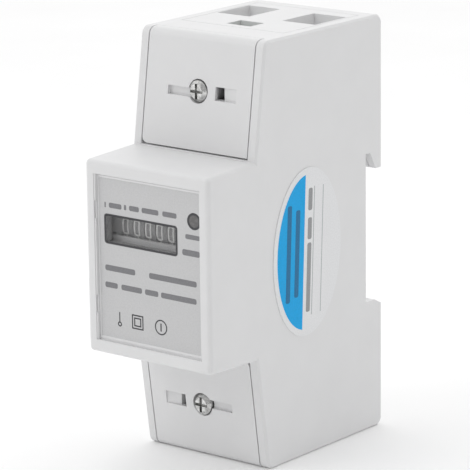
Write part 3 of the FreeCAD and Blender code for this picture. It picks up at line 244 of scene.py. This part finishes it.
# a grey lighter than the drum plastic, for a part that sits in shade: painted light
CHEEK_PAINTED_LIGHT = moulded("cheek_grey_painted_light", (0.48, 0.48, 0.485), grain=0.3, depth=0.006, spread=0.08)
# dark grey for the gap between the window's lens and the wall: painted shade
WINDOW_GAP_SHADE = printed("window_gap_painted_shade", (0.33, 0.33, 0.335), rough=0.55, spread=0.15, grain=0.3, shine=0.3)

for entry in frame["record"]["subparts"]:
    item = frame["nodes"][entry["node"]]
    item.data.materials.clear()
    item.data.materials.append(LOOKS[entry["material_slot"]])


# meshes


def finish_mesh(name, bm, material, body="casing"):
    mesh = bpy.data.meshes.new(name)
    bmesh.ops.remove_doubles(bm, verts=bm.verts, dist=1e-7)
    bmesh.ops.recalc_face_normals(bm, faces=bm.faces)
    bm.to_mesh(mesh)
    bm.free()
    item = bpy.data.objects.new(name, mesh)
    scene.collection.objects.link(item)
    mesh.materials.append(material)
    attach(item, body)


def band(bm, first, second, closed=True):
    """Faces between two rows of as many points."""
    for n in range(len(first) if closed else len(first) - 1):
        k = (n + 1) % len(first)
        bm.faces.new((first[n], first[k], second[k], second[n]))


def slab(bm, outline, place, low, high, hole=None):
    """A plate from a flat outline; place(u, v, w) gives its points; hole has as many points."""
    rings = []
    for w in (low, high):
        rings.append([bm.verts.new(place(u, v, w)) for u, v in outline])
        if hole:
            rings.append([bm.verts.new(place(u, v, w)) for u, v in hole])
    if hole:
        outer_low, inner_low, outer_high, inner_high = rings
        band(bm, outer_low, outer_high)
        band(bm, inner_high, inner_low)
        band(bm, inner_low, outer_low)
        band(bm, outer_high, inner_high)
    else:
        band(bm, rings[0], rings[1])
        bm.faces.new(rings[0][::-1])
        bm.faces.new(rings[1])


def plates(name, material, slot, place, *parts):
    """A piece made of slabs, each (outline, low, high) or (outline, low, high, hole)."""
    bm = bmesh.new()
    for outline, low, high, *hole in parts:
        slab(bm, outline, place, low, high, *hole)
    finish_mesh(name, bm, material)


def bow(cu, cv, ru, rv, first, last, steps=14):
    """Points along an arc with two half axes, between two angles in degrees."""
    angles = [math.radians(first + (last - first) * n / steps) for n in range(steps + 1)]
    return [(cu + ru * math.cos(angle), cv + rv * math.sin(angle)) for angle in angles]


def circle(cu, cv, radius, steps=28):
    return bow(cu, cv, radius, radius, 0, 360, steps)[:-1]


def rounded(u0, u1, v0, v1, radius, steps=5):
    """A rectangle with rounded corners, anticlockwise."""
    corners = (
        (u1 - radius, v1 - radius, 0), (u0 + radius, v1 - radius, 90),
        (u0 + radius, v0 + radius, 180), (u1 - radius, v0 + radius, 270),
    )
    return [
        point for cu, cv, start in corners
        for point in bow(cu, cv, radius, radius, start, start + 90, steps)
    ]


def square(cu, cv, half, radius):
    return rounded(cu - half, cu + half, cv - half, cv + half, radius, 2)


# the label's trim and print

LABEL_Y = 1.05
INK_LIFT = 0.012


def on_label(u, v, w):
    return at(u, LABEL_Y - w, v)


def upright(u, v, w):
    """The drawing's own x, z and y."""
    return at(u, w, v)


# the window's printed border, a dark line round its front
plates(
    "window_border", INK, "clear_window", on_label,
    (rounded(-13.3, 8.15, 3.36, 10.34, 0.75), 0.0, 0.05, rounded(-12.82, 7.67, 3.84, 9.86, 0.4)),
)

# a dark sheet round the sides of the window, in the gap between the lens and the wall: painted shade
# of that gap
GAP_SHADE_FRONT, GAP_SHADE_BACK = 1.15, 3.2
plates(
    "window_gap_shade", WINDOW_GAP_SHADE, "clear_window", upright,
    (
        rounded(-13.08, 7.78, 3.545, 10.055, 0.05, 2), GAP_SHADE_FRONT, GAP_SHADE_BACK,
        rounded(-13.02, 7.72, 3.605, 9.995, 0.04, 2),
    ),
)

# a dark ring painted on the label round the lamp's hole: painted shade of the gap round the lamp's
# pipe
LAMP_U, LAMP_V = 13.0, 12.1
plates(
    "lamp_gap_painted_shade", INK, "label_print", on_label,
    (circle(LAMP_U, LAMP_V, 1.95), 0.0, 0.03, circle(LAMP_U, LAMP_V, 1.42)),
)

# the sloping rim round the label and the shallow groove between it and the frame
RIM = (
    # left, right, half the height and rise over the label
    (-14.78, 14.5, 18.6, 0.01),
    (-14.95, 14.95, 19.1, 0.2),
    (-15.0, 15.0, 19.15, 0.1),
    (-15.48, 15.48, 19.48, 0.15),
    (-15.48, 15.48, 19.48, 0.0),
)
bm = bmesh.new()
loops = [
    [
        bm.verts.new(on_label(u, v, w))
        for u, v in ((left, -half), (right, -half), (right, half), (left, half))
    ]
    for left, right, half, w in RIM
]
for first, second in zip(loops, loops[1:] + loops[:1]):
    band(bm, first, second)
finish_mesh("label_rim", bm, LOOKS["casing_plastic"])

# the lip along the left wall of the recess, lower where the wall has its two notches
LIP_LEFT, LIP_RIGHT, LIP_FOOT, LIP_BEVEL = -15.49, -15.1, 0.1, 0.07
LIP_END, NOTCH_END, NOTCH_START = 19.46, 13.15, 9.05
LIP_RISE, NOTCH_RISE = 0.87, 0.55


def lip(low, high, w):
    """One length of the lip, with its front edge w over the label."""
    section = [
        (LIP_LEFT, LIP_FOOT), (LIP_RIGHT, LIP_FOOT), (LIP_RIGHT, w - LIP_BEVEL),
        (LIP_RIGHT - LIP_BEVEL, w), (LIP_LEFT, w),
    ]
    return section, low, high


plates(
    "recess_lip", LOOKS["casing_plastic"], "casing_plastic", lambda u, v, w: on_label(u, w, v),
    lip(-LIP_END, -NOTCH_END, LIP_RISE),
    lip(-NOTCH_END, -NOTCH_START, NOTCH_RISE),
    lip(-NOTCH_START, NOTCH_START, LIP_RISE),
    lip(NOTCH_START, NOTCH_END, NOTCH_RISE),
    lip(NOTCH_END, LIP_END, LIP_RISE),
)

# print on the label: each word of the real one is a plain bar
WORDS = (
    # left end, right end, middle height and bar height
    (-13.15, -12.75, 12.35, 1.25),
    (-11.85, -8.1, 12.4, 1.2),
    (-7.35, -6.7, 12.45, 1.2),
    (-5.85, -2.95, 12.5, 1.2),
    (-2.15, 2.75, 12.55, 1.2),
    (3.9, 8.0, 12.6, 1.2),
    (10.45, 14.6, 8.4, 1.1),
    (9.5, 14.5, 4.7, 1.4),
    (-13.3, -4.4, -2.3, 1.35),
    (-0.3, 13.5, -2.3, 1.35),
    (-13.4, -9.7, -6.3, 1.3),
    (-8.6, -2.5, -6.3, 1.3),
    (-1.6, 2.3, -6.3, 1.3),
    (3.1, 13.4, -6.3, 1.3),
)
CORNER = 0.32


def bar(left, right, middle, tall):
    radius = min(tall, right - left) * CORNER
    return rounded(left, right, middle - tall / 2, middle + tall / 2, radius, 3), 0.0, INK_LIFT


plates("label_bars", INK_GREY, "label_print", on_label, *(bar(*word) for word in WORDS))

# the three drawing symbols: a pin with a ring, a square in a square, a bar in a circle
PIN_U, PIN_RING_V = -9.28, -15.1
SQUARES, SQUARES_LINE = (-3.95, -13.85), 0.32
DIAL_U, DIAL_V = 2.93, -13.9
plates(
    "label_symbols", INK, "label_print", on_label,
    (rounded(PIN_U - 0.15, PIN_U + 0.15, -14.6, -12.25, 0.1, 2), 0.0, INK_LIFT),
    (circle(PIN_U, PIN_RING_V, 0.6, 24), 0.0, INK_LIFT, circle(PIN_U, PIN_RING_V, 0.3, 24)),
    *(
        (
            square(*SQUARES, half, 0.06), 0.0, INK_LIFT,
            square(*SQUARES, half - SQUARES_LINE, 0.04),
        )
        for half in (1.7, 1.05)
    ),
    (circle(DIAL_U, DIAL_V, 1.8, 36), 0.0, INK_LIFT, circle(DIAL_U, DIAL_V, 1.5, 36)),
    (rounded(DIAL_U - 0.18, DIAL_U + 0.18, -14.85, -12.95, 0.1, 2), 0.0, INK_LIFT),
)

# the sticker's print, on its own plane, leaning as the sticker does

STICKER_X = 18.2
CENTRE_Y, CENTRE_Z = 35.6, -1.2
LEAN = math.radians(2.8)


def on_sticker(u, v, w):
    return at(STICKER_X + w, u, v)


def leaning(points):
    c, s = math.cos(LEAN), math.sin(LEAN)
    return [(CENTRE_Y + u * c + v * s, CENTRE_Z - u * s + v * c) for u, v in points]


def column(left, right, low, high, radius, steps, lift=0.0):
    """One upright line or bar of the sticker's print."""
    outline = leaning(rounded(left, right, low, high, radius, steps))
    return outline, lift, lift + INK_LIFT


LINE_HALF, BLUE_BAR_HALF = 0.13, 0.78
plates(
    "sticker_field", BLUE, "sticker_print", on_sticker,
    (leaning(bow(0.0, 0.0, 11.3, 18.3, 97.1, 263.1, 72)), 0.0, INK_LIFT),
)
plates(
    "sticker_lines", INK_PALE, "sticker_print", on_sticker,
    *(
        column(u - LINE_HALF, u + LINE_HALF, low, high, 0.06, 2)
        for u, low, high in ((2.05, -15.1, 15.2), (5.4, -14.9, 15.1))
    ),
)
plates(
    "sticker_blue_bars", NAVY, "sticker_print", on_sticker,
    *(
        column(u - BLUE_BAR_HALF, u + BLUE_BAR_HALF, low, high, 0.45, 3, INK_LIFT)
        for u, low, high in ((-7.1, -11.0, 11.7), (-3.95, -10.1, 10.3))
    ),
)
plates(
    "sticker_bars", INK_SOFT, "sticker_print", on_sticker,
    *(
        column(-0.15, 1.35, low, high, 0.45, 3)
        for low, high in ((-14.2, 2.1), (2.9, 8.0), (9.7, 14.9))
    ),
)

# the counter's digits, as strokes in a box of 1 by BOX_TALL, bent round the drums

BOX_TALL = 2.2
DIGITS = {
    0: [
        bow(0.6, 1.9, 0.4, 0.3, 0, 90) + bow(0.4, 1.9, 0.4, 0.3, 90, 180)
        + bow(0.4, 0.3, 0.4, 0.3, 180, 270) + bow(0.6, 0.3, 0.4, 0.3, 270, 360) + [(1.0, 1.9)],
    ],
    1: [[(0.15, 1.75), (0.55, 2.2), (0.55, 0.0)]],
    2: [bow(0.5, 1.7, 0.5, 0.5, 170, -30) + [(0.0, 0.0), (1.0, 0.0)]],
    3: [bow(0.45, 1.68, 0.5, 0.52, 150, -90) + bow(0.45, 0.58, 0.55, 0.58, 90, -150)],
    4: [[(0.75, 0.0), (0.75, 2.2), (0.0, 0.6), (1.0, 0.6)]],
    5: [[(0.95, 2.2), (0.12, 2.2), (0.05, 1.25)] + bow(0.45, 0.68, 0.55, 0.68, 120, -150)],
    6: [bow(0.75, 0.6, 0.75, 1.6, 90, 180) + bow(0.5, 0.6, 0.5, 0.6, 180, 540, 24)],
    7: [[(0.0, 2.2), (1.0, 2.2), (0.4, 0.0)]],
    8: [bow(0.5, 1.68, 0.44, 0.52, -90, 270, 24) + bow(0.5, 0.58, 0.5, 0.58, 90, 450, 24)],
    9: [bow(0.25, 1.6, 0.75, 1.6, -90, 0) + bow(0.5, 1.6, 0.5, 0.6, 0, 360, 24)],
}
DRUMS = range(1, 7)
DRUM_RADIUS = 6.5
AXIS_Y, AXIS_Z = 12.25, 6.8
DIGIT_WIDE, DIGIT_TALL, STROKE = 1.42, 3.5, 0.46
DIGIT_SHIFT = -0.05
RISE = math.radians(-1.8)


def round_axis(x, angle, reach):
    """A point at a radius from the drums' axle, at an angle up from the middle of the window."""
    return at(x, AXIS_Y - reach * math.cos(angle), AXIS_Z + reach * math.sin(angle))


def fine(line, step=0.2):
    """The same line with its long stretches split, so that it follows the drum."""
    points = [line[0]]
    for (u0, v0), (u1, v1) in zip(line, line[1:]):
        parts = max(1, math.ceil(math.hypot(u1 - u0, v1 - v0) / step))
        for n in range(1, parts + 1):
            points.append((u0 + (u1 - u0) * n / parts, v0 + (v1 - v0) * n / parts))
    return points


def stroke(bm, line, place, half, low, high):
    """A flat ribbon along a line of points."""
    line = fine(line)
    last = len(line) - 1
    sides = []
    for n, (u, v) in enumerate(line):
        before, after = line[max(n - 1, 0)], line[min(n + 1, last)]
        du, dv = after[0] - before[0], after[1] - before[1]
        size = math.hypot(du, dv) or 1.0
        nu, nv = -dv / size * half, du / size * half
        sides.append(((u + nu, v + nv), (u - nu, v - nv)))
    tops = [[bm.verts.new(place(*point, high)) for point in pair] for pair in sides]
    feet = [[bm.verts.new(place(*point, low)) for point in pair] for pair in sides]
    for n in range(last):
        bm.faces.new((tops[n][0], tops[n + 1][0], tops[n + 1][1], tops[n][1]))
        bm.faces.new((feet[n][1], feet[n + 1][1], feet[n + 1][0], feet[n][0]))
        bm.faces.new((tops[n][1], tops[n + 1][1], feet[n + 1][1], feet[n][1]))
        bm.faces.new((feet[n][0], feet[n + 1][0], tops[n + 1][0], tops[n][0]))
    for n in (0, last):
        bm.faces.new((tops[n][0], tops[n][1], feet[n][1], feet[n][0]))


for number in DRUMS:
    low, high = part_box(f"number_drum_{number}")
    centre = (low.x + high.x) / 2 / MM + DIGIT_SHIFT
    bm = bmesh.new()
    for digit, lines in DIGITS.items():
        turn = RISE - digit * math.tau / 10

        def on_drum(u, v, w):
            angle = turn + (v - BOX_TALL / 2) / BOX_TALL * DIGIT_TALL / DRUM_RADIUS
            return round_axis(centre + (u - 0.5) * DIGIT_WIDE, angle, DRUM_RADIUS + w)

        for line in lines:
            # half the stroke, measured in the digit's own box
            stroke(bm, line, on_drum, STROKE / 2 / DIGIT_WIDE, 0.0, INK_LIFT)
    finish_mesh(f"digits_{number}", bm, DIGIT, f"drum_{number}")

# the comb before the drums, which closes the gaps between their bands
COMB_NEAR, COMB_FAR = 6.56, 6.7
COMB_LEFT, COMB_RIGHT = -0.55, 0.7
bm = bmesh.new()
for number in DRUMS:
    low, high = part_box(f"number_drum_{number}")
    left, right = high.x / MM + COMB_LEFT, high.x / MM + COMB_RIGHT
    arc = [math.radians(angle) for angle in range(-40, 41, 4)]
    rows = [
        [bm.verts.new(round_axis(x, angle, reach)) for angle in arc]
        for x, reach in ((left, COMB_NEAR), (left, COMB_FAR), (right, COMB_FAR), (right, COMB_NEAR))
    ]
    for first, second in zip(rows, rows[1:] + rows[:1]):
        band(bm, first, second, closed=False)
    for end in (0, -1):
        bm.faces.new([row[end] for row in rows])
finish_mesh("drum_comb", bm, LOOKS["drum_plastic"])

# the cheek left of the first drum, in a grey lighter than the drum plastic to lift it out of the
# shade it sits in: painted light
CHEEK_FRONT, CHEEK_BACK = 5.95, 6.1
plates(
    "comb_cheek", CHEEK_PAINTED_LIGHT, "counter_frame_plastic", upright,
    (rounded(-15.3, -12.12, 4.7, 9.6, 0.3, 2), CHEEK_FRONT, CHEEK_BACK),
)

# the stage

FLOOR_HALF = 4.0
bm = bmesh.new()
bmesh.ops.create_grid(bm, x_segments=2, y_segments=2, size=FLOOR_HALF)
floor_mesh = bpy.data.meshes.new("floor")
bm.to_mesh(floor_mesh)
bm.free()
floor = bpy.data.objects.new("floor", floor_mesh)
scene.collection.objects.link(floor)
paper = Graph("floor_paper")
paper.shade(paper.ramp(paper.noise(60.0), 0.3, grey(0.965), 0.7, grey(0.985)), "Base Color")
paper.set(Roughness=0.9)
floor_mesh.materials.append(paper.material)

# the room is brighter behind the meter than in front of it
BEHIND = (-0.625, 0.781, 0.0)
DIM, BRIGHT = 0.49, 1.34
world = bpy.data.worlds.new("studio")
scene.world = world
world.use_nodes = True
room = world.node_tree
sky = room.nodes["Background"]
sky.inputs["Color"].default_value = (1.0, 1.0, 1.0, 1.0)
heading = room.nodes.new("ShaderNodeVectorMath")
heading.operation = "DOT_PRODUCT"
heading.inputs[1].default_value = BEHIND
room.links.new(room.nodes.new("ShaderNodeTexCoord").outputs["Generated"], heading.inputs[0])
level = room.nodes.new("ShaderNodeMapRange")
level.inputs["From Min"].default_value = -1.0
level.inputs["To Min"].default_value = DIM
level.inputs["To Max"].default_value = BRIGHT
room.links.new(heading.outputs["Value"], level.inputs["Value"])
room.links.new(level.outputs["Result"], sky.inputs["Strength"])


MIDDLE = Vector((0, 0, HEIGHT / 2 * MM))


def softbox(name, place, side, watts):
    """A square soft light that looks at the middle of the meter."""
    light = bpy.data.lights.new(name, "AREA")
    light.shape = "RECTANGLE"
    light.size = light.size_y = side
    light.energy = watts
    item = bpy.data.objects.new(name, light)
    scene.collection.objects.link(item)
    item.location = place
    item.rotation_euler = (MIDDLE - Vector(place)).to_track_quat("-Z", "Y").to_euler()


softbox("key", (-0.55, -0.95, 0.85), side=0.7, watts=2.35)
softbox("overhead", (0.05, 0.1, 0.9), side=0.6, watts=0.75)

# the camera of the photo: angles in radians, focal length in pixels, the rest in mm
AZIMUTH, ELEVATION, ROLL = 0.675379, 0.245919, -0.011994
FOCAL, PICTURE = 3060.353, 470.0
AIM_DEPTH, DISTANCE = 30, 709.1576
SHIFT_X, SHIFT_Y = 1.06328, 1.21555
SENSOR = 36.0
back = Vector((
    math.sin(AZIMUTH) * math.cos(ELEVATION),
    -math.cos(AZIMUTH) * math.cos(ELEVATION),
    math.sin(ELEVATION),
))
side = Vector((math.cos(AZIMUTH), math.sin(AZIMUTH), 0.0))
rise = back.cross(side)
side, rise = (
    math.cos(ROLL) * side + math.sin(ROLL) * rise,
    -math.sin(ROLL) * side + math.cos(ROLL) * rise,
)
eye = at(0, AIM_DEPTH, 0) + (back * DISTANCE + side * SHIFT_X + rise * SHIFT_Y) * MM
lens = bpy.data.cameras.new("camera")
lens.sensor_width = SENSOR
lens.lens = FOCAL * SENSOR / PICTURE
lens.clip_start = 0.05
camera = bpy.data.objects.new("camera", lens)
scene.collection.objects.link(camera)
camera.matrix_world = Matrix((
    (side.x, rise.x, back.x, eye.x),
    (side.y, rise.y, back.y, eye.y),
    (side.z, rise.z, back.z, eye.z),
    (0, 0, 0, 1),
))
scene.camera = camera
